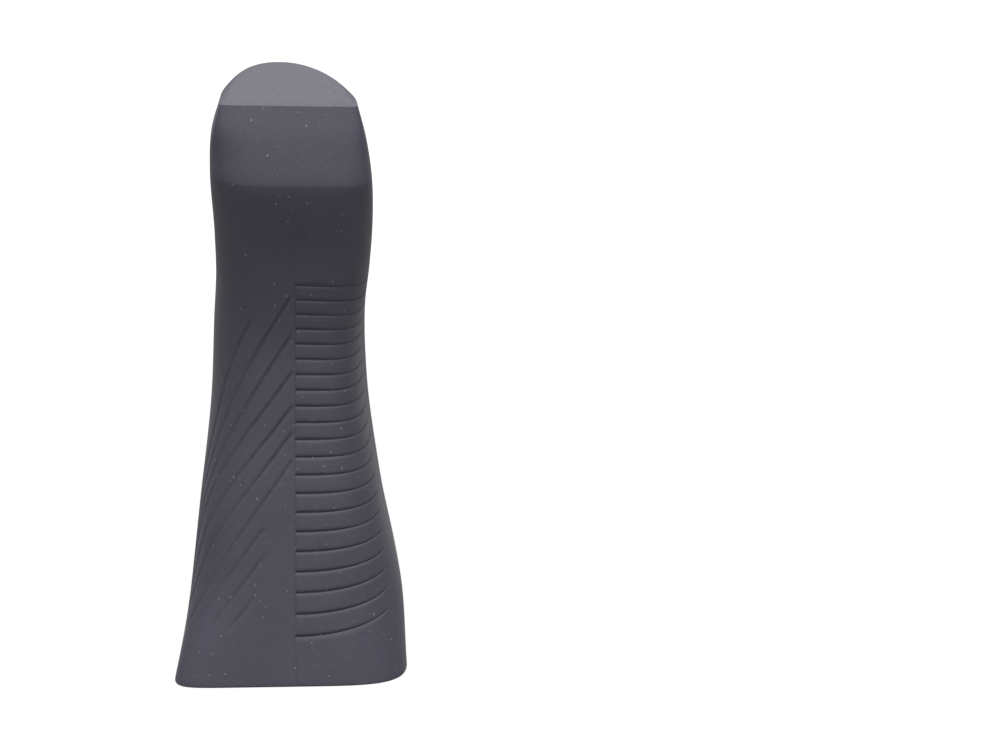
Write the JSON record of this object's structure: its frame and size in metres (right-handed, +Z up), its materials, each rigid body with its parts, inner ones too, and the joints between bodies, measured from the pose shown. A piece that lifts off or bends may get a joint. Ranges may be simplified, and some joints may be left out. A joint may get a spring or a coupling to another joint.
{
  "type": "brake lever hood",
  "caption": "Moulded rubber grip hood for a drop-bar brake lever, open at the base and the lever side, with grooves across the grip.",
  "frame": {"origin": "centre of the bounding box, on the plane of the base rim", "axes": "+Z up along the hood from the base rim to the horn, -Y towards the grip side with the grooves, +Y towards the lever opening"},
  "size_m": [0.0424, 0.046, 0.1084],
  "materials": {
    "rubber": "matte"
  },
  "bodies": {
    "root": {"rubber_hood": "rubber"}
  },
  "joints": []
}
